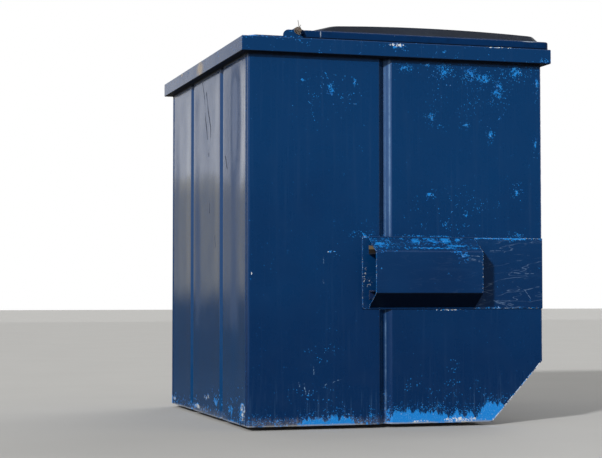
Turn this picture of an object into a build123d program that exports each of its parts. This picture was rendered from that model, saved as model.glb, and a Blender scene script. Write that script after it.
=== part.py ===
from build123d import *
import os
from math import hypot

os.makedirs("parts", exist_ok=True)

# A welded steel refuse container that a truck's forks lift by two side pockets, under two plastic lids
# on one hinge rod. Millimetres. +X runs across it from one pocket side to the other, +Y points to the
# rear, where the lids hinge, and +Z is up. The origin is on the ground under the middle of the body.

# Body sheets
body_width = 1830.0  # across the outsides of the two pocket sides
body_depth = 1590.0  # from the outside of the rear sheet to the outside of the front sheet
sheet_foot = 20.0  # height of the sheets' lower edges above the ground
rim_underside = 1888.0  # height of the sheets' upper edges, where the rim tubes sit
sheet_thickness = 3.0
corner_bend = 10.0  # outside radius of the bends at the rear corners
corner_flange = 40.0  # how far a side sheet wraps onto the rear face
slope_run = 282.0  # how far the cut-away lower front goes in
slope_rise = 308.0  # how far the cut-away lower front goes up

# Pressed V grooves that stiffen the sheets
groove_half_width = 34.0
groove_depth = 35.0
groove_mouth_bend = 7.0
groove_apex_bend = 4.0
side_groove_from_rear = 725.0
rear_groove_from_side = 560.0
front_groove_from_side = 560.0
groove_cap_thickness = 3.0
groove_cap_gap = 0.5  # room left for the weld round a cap

# Floor and skids
floor_thickness = 5.0
floor_underside = 75.0
floor_notch_gap = 2.0  # between the floor and each groove that it is cut round
skid_width = 120.0
skid_wall = 5.0
skid_nose = 45.0  # length of the upturned ends
skid_from_side = 232.0  # from the inside of a side sheet to the outer skid's nearest face
skid_rear_inset = 25.0  # from the inside of the rear sheet to the skids' rear ends
skid_front_inset = 30.0  # from the slope's foot to the skids' front ends
cross_height = 50.0
cross_flange = 35.0
cross_wall = 4.0
cross_bend = 8.0
rear_cross_from_rear = 345.0
front_cross_from_rear = 995.0

# Rim of rectangular tube
rim_overhang = 43.0  # how far the tubes stand out past the sheets
rim_tube_width = 51.0
rim_tube_height = 76.0
rim_tube_wall = 3.0
rim_tube_corner = 5.0

# Wear plates that the forks rub along
wear_plate_thickness = 6.0
wear_plate_from_rear = 598.0
wear_plate_bottom = 605.0
wear_plate_top = 970.0
wear_plate_wrap = 50.0  # how far a plate laps onto the front face
wear_plate_corner = 5.0

# Fork pockets
pocket_from_rear = 632.0
pocket_length = 578.0
pocket_reach = 116.0  # from the wear plate out to the pocket's face
hood_thickness = 6.0
hood_bend = 12.0
hood_top = 967.0
hood_face_top = 895.0
hood_face_bottom = 683.0
hood_bottom = 608.0
slot_inset = 15.0  # from the bends beside the pocket's face to the slot's roof and floor
rail_thickness = 6.0
rail_bend = 10.0
rail_lip = 45.0

# Hinge
hinge_from_rear = 247.0  # rod axis, from the outside of the rear sheet
hinge_above_rim = 36.0
rod_diameter = 20.0
rod_clearance = 0.1  # radial room around the rod in every bore
rod_end_margin = 11.0  # from each nut's outer face to the rod's end
lug_thickness = 8.0
lug_eye_radius = 17.0
lug_tail = 75.0  # from the rod axis to the rear edge of an outer lug
lug_toe = 22.0  # from the rod axis to the front edge of a lug
lug_top_above_axis = 3.0
lug_shoulder = 28.0  # radius of an outer lug's rear top corner
lug_side_gap = 2.0  # between a lug and the lid beside it
washer_thickness = 3.0
washer_diameter = 37.0
washer_bore_clearance = 0.5
nut_across_flats = 30.0
nut_thickness = 16.0
pin_shank = 4.0
pin_leg = 3.2
pin_clearance = 0.2
pin_from_nut = 5.0
pin_eye_radius = 6.0
pin_long_leg = 38.0
pin_long_leg_lean = 6.0
pin_short_leg = 14.0
pin_short_leg_lean = 9.0

# Rear cover plate and the bar under its front edge
cover_thickness = 6.0
cover_side_inset = 6.0  # from the rim's outer face
cover_rear_inset = 13.0
cover_corner_clip = 60.0
crossbar_width = 50.0
crossbar_height = 38.0
crossbar_wall = 3.0
crossbar_corner = 5.0

# Lids
lid_wall = 5.0
lid_side_inset = 16.0  # from the rim's outer face to the lid's outer side
lid_front_inset = 1.0
lid_centre_gap = 12.0  # between the two lids
lid_rear_setback = 28.0  # from the rod axis to the lid's rear wall
lid_rest_gap = 0.3
lid_skirt = 42.0
lid_corner = 25.0
lid_skirt_edge = 8.0
lid_band_side = 30.0  # flat band between the skirt and the raised crown
lid_band_front = 28.0
lid_band_rear = 36.0
crown_side_run = 60.0
crown_front_run = 29.0
crown_rear_run = 190.0
crown_rise = 56.0
crown_arch_radius = 8880.0  # the crown's top is arched from front to rear
crown_peak_from_front = 635.0
crown_corner = 45.0
crown_edge = 8.0
crown_foot = 12.0
rib_thickness = 6.0
rib_depth = 16.0
rib_spacing = 225.0
knuckle_radius = 18.0
knuckle_drop = 14.0  # from the rod axis down to the arm's underside
outer_knuckle = 60.0
middle_knuckle = 44.0
inner_knuckle = 56.0

overrun = 20.0  # how far a cutting shape reaches past the faces that it cuts

# Places worked out from the sizes above
side_face = body_width / 2
side_inside = side_face - sheet_thickness
rear_face = body_depth / 2
rear_inside = rear_face - sheet_thickness
front_face = -body_depth / 2
front_inside = front_face + sheet_thickness
slope_foot = front_face + slope_run
slope_head = sheet_foot + slope_rise
side_groove_y = rear_face - side_groove_from_rear
rear_groove_x = side_face - rear_groove_from_side
front_groove_x = side_face - front_groove_from_side
skid_x = side_inside - skid_from_side - skid_width / 2
rim_top = rim_underside + rim_tube_height
rim_side = side_face + rim_overhang
rim_rear = rear_face + rim_overhang
rim_inside = rim_side - rim_tube_width
cover_top = rim_top + cover_thickness
plate_face = side_face + wear_plate_thickness
pocket_face = plate_face + pocket_reach
slot_roof = hood_face_top - slot_inset
slot_floor = hood_face_bottom + slot_inset
pocket_rear = rear_face - pocket_from_rear
hinge_y = rear_face - hinge_from_rear
hinge_z = rim_top + hinge_above_rim
rod_radius = rod_diameter / 2
bore_radius = rod_radius + rod_clearance
lid_outer = rim_side - lid_side_inset
lid_inner = lid_centre_gap / 2
lid_rear = hinge_y - lid_rear_setback
lid_front = -rim_rear + lid_front_inset
lid_foot = rim_top + lid_rest_gap
lid_band = lid_foot + lid_skirt
lug_inner_face = lid_outer + lug_side_gap
lug_outer_face = lug_inner_face + lug_thickness
nut_inner_face = lug_outer_face + washer_thickness
nut_outer_face = nut_inner_face + nut_thickness
rod_end = nut_outer_face + rod_end_margin
lid_middle = (lid_outer + lid_inner) / 2


def bent_strip(points, bends, thickness, side=Side.RIGHT):
    """Section of a bent sheet: one face follows the points, and the metal lies on the side named."""
    with BuildSketch(Plane.XY) as strip:
        with BuildLine():
            face_line = FilletPolyline(*points, radius=bends)
            offset(face_line, amount=thickness, side=side)
        make_face()
    return strip.sketch


def groove_stations(centres, wall, inward):
    """Points of V grooves along a wall at the given coordinate, which press in by their depth."""
    stations = []
    for centre in centres:
        stations += [
            (centre - groove_half_width, wall),
            (centre, wall + inward * groove_depth),
            (centre + groove_half_width, wall),
        ]
    return stations


def groove_bends(count):
    """Bend radii of so many grooves, in the order of their points."""
    return [groove_mouth_bend, groove_apex_bend, groove_mouth_bend] * count


def swap(points):
    return [(second, first) for first, second in points]


def upright(section, bottom, top):
    """A sheet that stands between two heights, from its section seen from above."""
    with BuildPart() as sheet:
        with BuildSketch(Plane.XY.offset(bottom)):
            add(section)
        extrude(amount=top - bottom)
    return sheet


def mirrored(piece):
    """The same piece for the other side of the container."""
    with BuildPart() as other:
        mirror(piece.part, about=Plane.YZ)
    return other


def save(piece, node):
    piece.part.label = node
    export_step(piece.part, f"parts/{node}.step")


def side_panel():
    """Pocket-side sheet: one V groove, a rear edge bent onto the rear face, a cut-away front foot."""
    section = bent_strip(
        [
            (-side_face, front_face),
            *swap(groove_stations([side_groove_y], -side_face, 1)),
            (-side_face, rear_face),
            (-side_face + corner_flange, rear_face),
        ],
        [*groove_bends(1), corner_bend],
        sheet_thickness,
    )
    with BuildPart() as panel:
        add(upright(section, sheet_foot, rim_underside).part)
        with BuildSketch(Plane.YZ.offset(-side_face - overrun)):
            with BuildLine():
                Polyline(
                    (slope_foot, sheet_foot),
                    (front_face, slope_head),
                    (front_face, sheet_foot),
                    close=True,
                )
            make_face()
        extrude(amount=corner_flange + overrun, mode=Mode.SUBTRACT)
    return panel


def rear_panel():
    """Rear sheet between the wrapped edges of the side sheets, with two V grooves."""
    half_width = side_face - corner_flange
    centres = [-rear_groove_x, rear_groove_x]
    section = bent_strip(
        [
            (-half_width, rear_face),
            *groove_stations(centres, rear_face, -1),
            (half_width, rear_face),
        ],
        groove_bends(len(centres)),
        sheet_thickness,
    )
    return upright(section, sheet_foot, rim_underside)


def front_panel():
    """Upright front sheet between the side sheets, with two V grooves, down to the slope's head."""
    centres = [-front_groove_x, front_groove_x]
    section = bent_strip(
        [
            (-side_inside, front_face),
            *groove_stations(centres, front_face, 1),
            (side_inside, front_face),
        ],
        groove_bends(len(centres)),
        sheet_thickness,
        side=Side.LEFT,
    )
    return upright(section, slope_head, rim_underside)


def front_slope():
    """Flat sheet that closes the cut-away lower front between the side sheets."""
    length = hypot(slope_run, slope_rise)
    level_thickness = sheet_thickness * length / slope_rise
    with BuildPart() as slope:
        with BuildSketch(Plane.YZ.offset(-side_inside)):
            with BuildLine():
                Polyline(
                    (slope_foot, sheet_foot),
                    (front_face, slope_head),
                    (front_face + level_thickness, slope_head),
                    (slope_foot + level_thickness, sheet_foot),
                    close=True,
                )
            make_face()
        extrude(amount=2 * side_inside)
    return slope


def groove_wedge(outset, apex_bend):
    """Seen from above, a groove's hollow grown by the outset, opening towards -Y at the origin."""
    slant = hypot(groove_half_width, groove_depth)
    apex = groove_depth + outset * slant / groove_half_width
    half_width = groove_half_width * apex / groove_depth
    with BuildSketch(Plane.XY) as wedge:
        with BuildLine():
            Polyline((-half_width, 0), (half_width, 0), (0, apex), close=True)
        make_face()
        fillet(wedge.vertices().sort_by(Axis.Y)[-1], radius=apex_bend)
    return wedge.sketch


def side_and_rear_grooves():
    """Place and turn of each groove in the side and rear sheets."""
    return [
        Location((-side_face, side_groove_y), -90),
        Location((side_face, side_groove_y), 90),
        Location((-rear_groove_x, rear_face), 180),
        Location((rear_groove_x, rear_face), 180),
    ]


def groove_caps():
    """Small plates that close each groove under the rim, and the front grooves above the slope."""
    front = [Location((-front_groove_x, front_face)), Location((front_groove_x, front_face))]
    section = groove_wedge(-groove_cap_gap, groove_apex_bend - groove_cap_gap)
    under_rim = rim_underside - groove_cap_thickness
    with BuildPart() as caps:
        for height, places in ((under_rim, side_and_rear_grooves() + front), (slope_head, front)):
            with BuildSketch(Plane.XY.offset(height)):
                with Locations(*places):
                    add(section)
            extrude(amount=groove_cap_thickness)
    return caps


def floor_plate():
    """Floor inside the sheets, notched round their grooves, with its front edge on the slope."""
    outset = sheet_thickness + floor_notch_gap
    notch = groove_wedge(outset, groove_apex_bend + outset)
    slope_normal = (0, slope_rise, slope_run)
    slope_inside = slope_foot + sheet_thickness * hypot(slope_run, slope_rise) / slope_rise
    with BuildPart() as floor:
        with BuildSketch(Plane.XY.offset(floor_underside)) as outline:
            with Locations((0, (front_inside + rear_inside) / 2)):
                Rectangle(2 * side_inside, rear_inside - front_inside)
            fillet(outline.vertices().group_by(Axis.Y)[-1], radius=corner_bend)
            with Locations(*side_and_rear_grooves()):
                add(notch, mode=Mode.SUBTRACT)
        extrude(amount=floor_thickness)
        split(bisect_by=Plane(origin=(0, slope_inside, sheet_foot), z_dir=slope_normal), keep=Keep.TOP)
    return floor


def skid_side(inset, top):
    """Side view of a skid with upturned ends, drawn inside its outline by the inset."""
    rear = rear_inside - skid_rear_inset
    front = slope_foot + skid_front_inset
    nose_lean = skid_nose / floor_underside
    end_inset = inset * hypot(1, nose_lean)
    return [
        (front + end_inset + nose_lean * (floor_underside - top), top),
        (front + end_inset + nose_lean * (floor_underside - inset), inset),
        (rear - end_inset - nose_lean * (floor_underside - inset), inset),
        (rear - end_inset - nose_lean * (floor_underside - top), top),
    ]


def skid(x):
    """Folded channel under the floor, open upwards, that the container stands and slides on."""
    with BuildPart() as runner:
        with BuildSketch(Plane.YZ.offset(x - skid_width / 2)):
            with BuildLine():
                Polyline(*skid_side(0, floor_underside), close=True)
            make_face()
        extrude(amount=skid_width)
        with BuildSketch(Plane.YZ.offset(x - skid_width / 2 + skid_wall)):
            with BuildLine():
                Polyline(*skid_side(skid_wall, floor_underside + overrun), close=True)
            make_face()
        extrude(amount=skid_width - 2 * skid_wall, mode=Mode.SUBTRACT)
    return runner


def cross_channels():
    """Short channels under the floor, between the skids and out to the side sheets."""
    foot = floor_underside - cross_height
    bays = [
        (-side_inside, -skid_x - skid_width / 2),
        (-skid_x + skid_width / 2, -skid_width / 2),
        (skid_width / 2, skid_x - skid_width / 2),
        (skid_x + skid_width / 2, side_inside),
    ]
    sections = []
    for from_rear in (rear_cross_from_rear, front_cross_from_rear):
        web = rear_face - from_rear
        sections.append(
            bent_strip(
                [
                    (web - cross_flange, foot),
                    (web, foot),
                    (web, floor_underside),
                    (web - cross_flange, floor_underside),
                ],
                cross_bend,
                cross_wall,
                side=Side.LEFT,
            )
        )
    with BuildPart() as channels:
        for start, end in bays:
            with BuildSketch(Plane.YZ.offset(start)):
                for section in sections:
                    add(section)
            extrude(amount=end - start)
    return channels


def tube_section(width, height, wall, corner):
    """Hollow rectangular section about its own centre."""
    with BuildSketch(Plane.XY) as tube:
        RectangleRounded(width, height, corner)
        RectangleRounded(width - 2 * wall, height - 2 * wall, corner - wall, mode=Mode.SUBTRACT)
    return tube.sketch


def rim_rail(half_length, half_across, turn):
    """Rim tube with mitred ends, as a rail along X, then turned about the upright axis."""
    section = tube_section(rim_tube_width, rim_tube_height, rim_tube_wall, rim_tube_corner)
    centre_y = half_across - rim_tube_width / 2
    centre_z = rim_underside + rim_tube_height / 2
    with BuildPart() as straight:
        with BuildSketch(Plane.YZ.offset(-half_length)):
            with Locations((centre_y, centre_z)):
                add(section)
        extrude(amount=2 * half_length)
        for end in (-1, 1):
            corner = (end * half_length, half_across, centre_z)
            split(bisect_by=Plane(origin=corner, z_dir=(-end, 1, 0)), keep=Keep.TOP)
    with BuildPart() as rail:
        add(straight.part.rotate(Axis.Z, turn))
    return rail


def hinge_crossbar():
    """Tube across the mouth, between the side rails, under the hinge line."""
    section = tube_section(crossbar_width, crossbar_height, crossbar_wall, crossbar_corner)
    with BuildPart() as bar:
        with BuildSketch(Plane.YZ.offset(-rim_inside)):
            with Locations((hinge_y, rim_top - crossbar_height / 2)):
                add(section)
        extrude(amount=2 * rim_inside)
    return bar


def rear_cover():
    """Fixed plate over the rear of the mouth, from the hinge line back onto the rear rail."""
    front = hinge_y - crossbar_width / 2
    rear = rim_rear - cover_rear_inset
    with BuildPart() as cover:
        with BuildSketch(Plane.XY.offset(rim_top)) as outline:
            with Locations((0, (front + rear) / 2)):
                Rectangle(2 * (rim_side - cover_side_inset), rear - front)
            chamfer(outline.vertices().group_by(Axis.Y)[-1], length=cover_corner_clip)
        extrude(amount=cover_thickness)
    return cover


def wear_plate():
    """Thick plate along a pocket side, folded round the front corner."""
    rear_end = rear_face - wear_plate_from_rear
    front_skin = front_face - wear_plate_thickness
    wrap_end = -side_face + wear_plate_wrap
    with BuildPart() as plate:
        with BuildSketch(Plane.XY.offset(wear_plate_bottom)) as section:
            with BuildLine():
                Polyline(
                    (wrap_end, front_skin),
                    (-plate_face, front_skin),
                    (-plate_face, rear_end),
                    (-side_face, rear_end),
                    (-side_face, front_face),
                    (wrap_end, front_face),
                    close=True,
                )
            make_face()
            fillet(section.vertices().sort_by_distance((-plate_face, front_skin))[0], wear_plate_corner)
        extrude(amount=wear_plate_top - wear_plate_bottom)
    return plate


def pocket_hood():
    """Outer plate of a fork pocket: an upright face between two slopes that run back to the plate."""
    section = bent_strip(
        [
            (-plate_face + hood_thickness, hood_foot_z()),
            (-pocket_face, hood_face_bottom),
            (-pocket_face, hood_face_top),
            (-plate_face + hood_thickness, hood_head_z()),
        ],
        hood_bend,
        hood_thickness,
    )
    with BuildPart() as hood:
        with BuildSketch(Plane.XZ.offset(-pocket_rear)):
            add(section)
        extrude(amount=pocket_length)
        split(bisect_by=Plane(origin=(-plate_face, 0, 0), z_dir=(-1, 0, 0)), keep=Keep.TOP)
    return hood


def hood_head_z():
    """Height where the upper slope's outer face would reach one thickness behind the plate's face."""
    return hood_top + (hood_top - hood_face_top) * hood_thickness / pocket_reach


def hood_foot_z():
    """The same for the lower slope."""
    return hood_bottom - (hood_face_bottom - hood_bottom) * hood_thickness / pocket_reach


def pocket_rail(level, lip_end, side):
    """Angle inside a pocket: a shelf that guides the fork, and a lip welded to the wear plate."""
    section = bent_strip(
        [(-pocket_face + hood_thickness, level), (-plate_face, level), (-plate_face, lip_end)],
        rail_bend,
        rail_thickness,
        side=side,
    )
    with BuildPart() as rail:
        with BuildSketch(Plane.XZ.offset(-pocket_rear)):
            add(section)
        extrude(amount=pocket_length)
    return rail


def lug_plate(outline, x):
    """A lug of the given side view, bored for the rod, with its inner face at x."""
    with BuildPart() as lug:
        with BuildSketch(Plane.YZ.offset(x)):
            add(outline)
            with Locations((hinge_y, hinge_z)):
                Circle(lug_eye_radius)
                Circle(bore_radius, mode=Mode.SUBTRACT)
        extrude(amount=lug_thickness)
    return lug


def outer_lug():
    """End lug on the rear cover plate: a long plate with a rounded rear shoulder and an eye."""
    top = hinge_z + lug_top_above_axis
    with BuildSketch(Plane.XY) as outline:
        with BuildLine():
            FilletPolyline(
                (hinge_y - lug_toe, cover_top),
                (hinge_y + lug_tail, cover_top),
                (hinge_y + lug_tail, top),
                (hinge_y - lug_eye_radius / 2, top),
                radius=[0, lug_shoulder],
            )
            Line((hinge_y - lug_eye_radius / 2, top), (hinge_y - lug_toe, cover_top))
        make_face()
    return lug_plate(outline.sketch, -lug_outer_face)


def small_lug(x):
    """Short lug between two lid knuckles, centred on x."""
    with BuildSketch(Plane.XY) as outline:
        with BuildLine():
            Polyline(
                (hinge_y - lug_toe, cover_top),
                (hinge_y + lug_toe, cover_top),
                (hinge_y + lug_eye_radius, hinge_z),
                (hinge_y - lug_eye_radius, hinge_z),
                close=True,
            )
        make_face()
    return lug_plate(outline.sketch, x - lug_thickness / 2)


def hinge_rod():
    """One rod through every lug and knuckle, cross-drilled near both ends for the split pins."""
    pin_x = nut_outer_face + pin_from_nut
    with BuildPart() as rod:
        with BuildSketch(Plane.YZ.offset(-rod_end)):
            with Locations((hinge_y, hinge_z)):
                Circle(rod_radius)
        extrude(amount=2 * rod_end)
        with BuildSketch(Plane.XY.offset(hinge_z - rod_diameter)):
            with Locations((-pin_x, hinge_y), (pin_x, hinge_y)):
                Circle(pin_shank / 2 + pin_clearance)
        extrude(amount=2 * rod_diameter, mode=Mode.SUBTRACT)
    return rod


def hinge_washers():
    """A plain washer outside each end lug."""
    with BuildPart() as washers:
        for start in (-nut_inner_face, lug_outer_face):
            with BuildSketch(Plane.YZ.offset(start)):
                with Locations((hinge_y, hinge_z)):
                    Circle(washer_diameter / 2)
                    Circle(rod_radius + washer_bore_clearance, mode=Mode.SUBTRACT)
            extrude(amount=washer_thickness)
    return washers


def hinge_nuts():
    """A hexagon nut on each end of the rod."""
    with BuildPart() as nuts:
        for start in (-nut_outer_face, nut_inner_face):
            with BuildSketch(Plane.YZ.offset(start)):
                with Locations((hinge_y, hinge_z)):
                    RegularPolygon(nut_across_flats / 2, 6, major_radius=False)
                    Circle(bore_radius, mode=Mode.SUBTRACT)
            extrude(amount=nut_thickness)
    return nuts


def split_pin():
    """Split pin through the rod's end: an eye below, and two legs spread above."""
    pin_x = -nut_outer_face - pin_from_nut
    shank_foot = hinge_z - rod_radius - pin_shank / 2
    shank_head = hinge_z + rod_radius + pin_shank / 2
    fork = Vector(pin_x, hinge_y, shank_head - pin_leg / 2)
    with BuildPart() as pin:
        with BuildSketch(Plane.XY.offset(shank_foot)):
            with Locations((pin_x, hinge_y)):
                Circle(pin_shank / 2)
        extrude(amount=shank_head - shank_foot)
        with Locations(Location((pin_x, hinge_y, shank_foot - pin_eye_radius), (0, 90, 0))):
            Torus(pin_eye_radius, pin_leg / 2)
        for lean, rise in ((pin_long_leg_lean, pin_long_leg), (-pin_short_leg_lean, pin_short_leg)):
            leg = Vector(0, lean, rise)
            with BuildSketch(Plane(origin=fork, z_dir=leg)):
                Circle(pin_leg / 2)
            extrude(amount=leg.length)
    return pin


def lid_form(inset):
    """Solid outline of a lid, drawn inside its true outer faces by the inset: skirt, band and crown."""
    width = lid_outer - lid_inner - 2 * inset
    depth = lid_rear - lid_front - 2 * inset
    centre = (-lid_middle, (lid_rear + lid_front) / 2)
    band = lid_band - inset
    side = lid_band_side + inset
    front = lid_front + lid_band_front + inset
    rear = lid_rear - lid_band_rear - inset
    crown_width = lid_outer - lid_inner - 2 * side
    with BuildPart() as crown:
        with BuildSketch(Plane.XY.offset(band - lid_skirt / 2)):
            with Locations((centre[0], (front + rear) / 2)):
                RectangleRounded(crown_width, rear - front, crown_corner)
        extrude(amount=lid_skirt / 2)
        with BuildSketch(Plane.XY.offset(band)):
            with Locations((centre[0], (front + rear) / 2)):
                RectangleRounded(crown_width, rear - front, crown_corner)
        with BuildSketch(Plane.XY.offset(band + crown_rise)):
            with Locations((centre[0], (front + crown_front_run + rear - crown_rear_run) / 2)):
                RectangleRounded(
                    crown_width - 2 * crown_side_run,
                    rear - crown_rear_run - front - crown_front_run,
                    crown_corner,
                )
        loft()
        peak_y = lid_front + crown_peak_from_front
        with BuildSketch(Plane.YZ.offset(-lid_outer)):
            with Locations((peak_y, band + crown_rise - crown_arch_radius)):
                Circle(crown_arch_radius)
        extrude(amount=lid_outer, mode=Mode.INTERSECT)
    with BuildPart() as form:
        with BuildSketch(Plane.XY.offset(lid_foot)):
            with Locations(centre):
                RectangleRounded(width, depth, lid_corner - inset)
        extrude(amount=band - lid_foot)
        add(crown.part)
    return form


def band_face(tray):
    """The flat face round the crown."""
    return tray.faces().filter_by(Axis.Z).sort_by(Axis.Z)[-1]


def lid_ribs(hollow):
    """Shallow ribs along the underside of the crown."""
    with BuildPart() as ribs:
        for place in (-rib_spacing, 0, rib_spacing):
            with Locations((-lid_middle + place, (lid_front + lid_rear) / 2, lid_band)):
                Box(rib_thickness, lid_rear - lid_front, 2 * (lid_skirt + crown_rise))
        add(hollow.part, mode=Mode.INTERSECT)
        add(hollow.part.moved(Location((0, 0, -rib_depth))), mode=Mode.SUBTRACT)
    return ribs


def knuckle_section():
    """Side view of a knuckle: a barrel round the rod and an arm to the lid's rear wall."""
    arm_depth = hinge_y - lid_rear + lid_wall
    arm_top = lid_band - hinge_z
    with BuildSketch(Plane.XY) as section:
        with Locations((hinge_y - arm_depth / 2, hinge_z + (arm_top - knuckle_drop) / 2)):
            Rectangle(arm_depth, arm_top + knuckle_drop)
        with Locations((hinge_y, hinge_z)):
            Circle(knuckle_radius)
            Circle(bore_radius, mode=Mode.SUBTRACT)
    return section.sketch


def lid():
    """One of two plastic lids: a hollow tray with a skirt, a raised crown, ribs and hinge knuckles."""
    outer = lid_form(0)
    hollow = lid_form(lid_wall)
    ribs = lid_ribs(hollow)
    beside_lug = lug_thickness / 2 + lug_side_gap
    knuckles = [
        (-lid_outer, outer_knuckle),
        (-lid_middle - beside_lug - middle_knuckle, middle_knuckle),
        (-lid_middle + beside_lug, middle_knuckle),
        (-beside_lug - inner_knuckle, inner_knuckle),
    ]
    section = knuckle_section()
    with BuildPart() as tray:
        add(outer.part)
        fillet(tray.faces().sort_by(Axis.Z)[-1].edges(), radius=crown_edge)
        fillet(band_face(tray).inner_wires()[0].edges(), radius=crown_foot)
        fillet(band_face(tray).outer_wire().edges(), radius=lid_skirt_edge)
        add(hollow.part, mode=Mode.SUBTRACT)
        with BuildSketch(Plane.XY.offset(lid_foot)):
            with Locations((-lid_middle, (lid_rear + lid_front) / 2)):
                RectangleRounded(
                    lid_outer - lid_inner - 2 * lid_wall,
                    lid_rear - lid_front - 2 * lid_wall,
                    lid_corner - lid_wall,
                )
        extrude(amount=-overrun, mode=Mode.SUBTRACT)
        add(ribs.part)
        for start, width in knuckles:
            with BuildSketch(Plane.YZ.offset(start)):
                add(section)
            extrude(amount=width)
    return tray


left_pieces = {
    "side_panel": side_panel(),
    "wear_plate": wear_plate(),
    "pocket_hood": pocket_hood(),
    "pocket_upper_rail": pocket_rail(slot_roof, slot_roof + rail_lip, Side.LEFT),
    "pocket_lower_rail": pocket_rail(slot_floor, slot_floor - rail_lip, Side.RIGHT),
    "hinge_lug": outer_lug(),
    "lug_between_knuckles": small_lug(-lid_middle),
    "split_pin": split_pin(),
    "skid": skid(-skid_x),
    "lid": lid(),
}
for name, piece in left_pieces.items():
    save(piece, f"{name}_left")
    save(mirrored(piece), f"{name}_right")

single_pieces = {
    "rear_panel": rear_panel(),
    "front_panel": front_panel(),
    "front_slope": front_slope(),
    "groove_caps": groove_caps(),
    "floor_plate": floor_plate(),
    "skid_centre": skid(0),
    "cross_channels": cross_channels(),
    "rim_rail_rear": rim_rail(rim_side, rim_rear, 0),
    "rim_rail_front": rim_rail(rim_side, rim_rear, 180),
    "rim_rail_left": rim_rail(rim_rear, rim_side, 90),
    "rim_rail_right": rim_rail(rim_rear, rim_side, -90),
    "hinge_crossbar": hinge_crossbar(),
    "rear_cover": rear_cover(),
    "hinge_lug_centre": small_lug(0),
    "hinge_rod": hinge_rod(),
    "hinge_washers": hinge_washers(),
    "hinge_nuts": hinge_nuts(),
}
for name, piece in single_pieces.items():
    save(piece, name)
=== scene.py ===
import math

import bmesh
import bpy
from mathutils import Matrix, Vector, noise


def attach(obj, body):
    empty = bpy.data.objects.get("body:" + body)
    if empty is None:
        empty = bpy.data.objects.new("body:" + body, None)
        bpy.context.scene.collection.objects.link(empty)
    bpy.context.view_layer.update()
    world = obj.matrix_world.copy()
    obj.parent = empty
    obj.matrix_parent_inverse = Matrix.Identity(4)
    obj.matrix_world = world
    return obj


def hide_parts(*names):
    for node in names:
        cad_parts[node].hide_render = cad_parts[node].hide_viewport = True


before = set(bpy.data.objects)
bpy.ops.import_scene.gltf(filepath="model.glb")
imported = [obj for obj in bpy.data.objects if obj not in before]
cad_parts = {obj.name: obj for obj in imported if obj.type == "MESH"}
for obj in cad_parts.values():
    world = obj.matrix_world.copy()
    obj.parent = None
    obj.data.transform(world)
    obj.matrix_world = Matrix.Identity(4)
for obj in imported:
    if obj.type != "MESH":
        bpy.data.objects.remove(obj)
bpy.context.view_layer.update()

# Looks of a welded refuse container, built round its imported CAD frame. Metres, in the CAD's own axes:
# +X runs across from one fork pocket to the other, +Y points to the rear where the lids hinge, +Z is up.

# Sizes of the part
SIDE = 0.915  # outside of the pocket sides
END = 0.795  # outside of the rear and front sheets
SHEET = 0.003
SHEET_FOOT = 0.020
RIM_FOOT = 1.888
RIM_TOP = 1.964
RIM_OVERHANG = 0.043
TUBE_SIDE = SIDE + RIM_OVERHANG  # outer face of the rim tube over a pocket side
TUBE_END = END + RIM_OVERHANG  # and over the rear or front
CORNER_BEND = 0.010
CORNER_FLANGE = 0.040
SLOPE_FOOT = -0.513
SLOPE_RUN = 0.282
SLOPE_RISE = 0.308
SLOPE_HEAD = SHEET_FOOT + SLOPE_RISE
SLOPE_LENGTH = math.hypot(SLOPE_RUN, SLOPE_RISE)
SLOPE_LINE = (SLOPE_FOOT * SLOPE_RISE + SHEET_FOOT * SLOPE_RUN) / SLOPE_LENGTH
SIDE_GROOVE = 0.070
END_GROOVE = 0.355
GROOVE_HALF = 0.034
GROOVE_DEPTH = 0.035
GROOVE_BENDS = [0.007, 0.004, 0.007]
PLATE_FACE = 0.921
PLATE_REAR = 0.197
PLATE_FOOT = 0.605
PLATE_HEAD = 0.970
HOOD_REAR = 0.163
HOOD_FRONT = -0.415
HOOD_HEAD = 0.967
HOOD_FOOT = 0.608
HOOD_FACE = 1.037
LID_SIDE = 0.942
LID_BAND = 2.006


def colour(red, green, blue):
    """A colour named by its 0 to 255 screen values, as the shader's linear one."""
    shares = [value / 255 for value in (red, green, blue)]
    return (*[v / 12.92 if v < 0.04045 else ((v + 0.055) / 1.055) ** 2.4 for v in shares], 1.0)


class Wire:
    """A value that runs between shader nodes, so that shader maths reads as plain arithmetic."""

    def __init__(self, board, socket):
        self.board, self.socket = board, socket

    def maths(self, operation, *values):
        return self.board.node("ShaderNodeMath", {"operation": operation}, values)

    def __add__(self, other):
        return self.maths("ADD", self, other)

    __radd__ = __add__

    def __sub__(self, other):
        return self.maths("SUBTRACT", self, other)

    def __rsub__(self, other):
        return self.maths("SUBTRACT", other, self)

    def __mul__(self, other):
        return self.maths("MULTIPLY", self, other)

    __rmul__ = __mul__

    def __abs__(self):
        return self.maths("ABSOLUTE", self)

    def __or__(self, other):
        return self.maths("MAXIMUM", self, other)


def set_stops(ramp, stops):
    """Gives a colour ramp grey stops, from their places and heights."""
    first, *between, last = stops
    ramp.elements[1].position = last[0]
    ramp.elements[0].position = first[0]
    for place, _ in between:
        ramp.elements.new(place)
    for element, (_, height) in zip(ramp.elements, stops):
        element.color = (height, height, height, 1.0)


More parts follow.
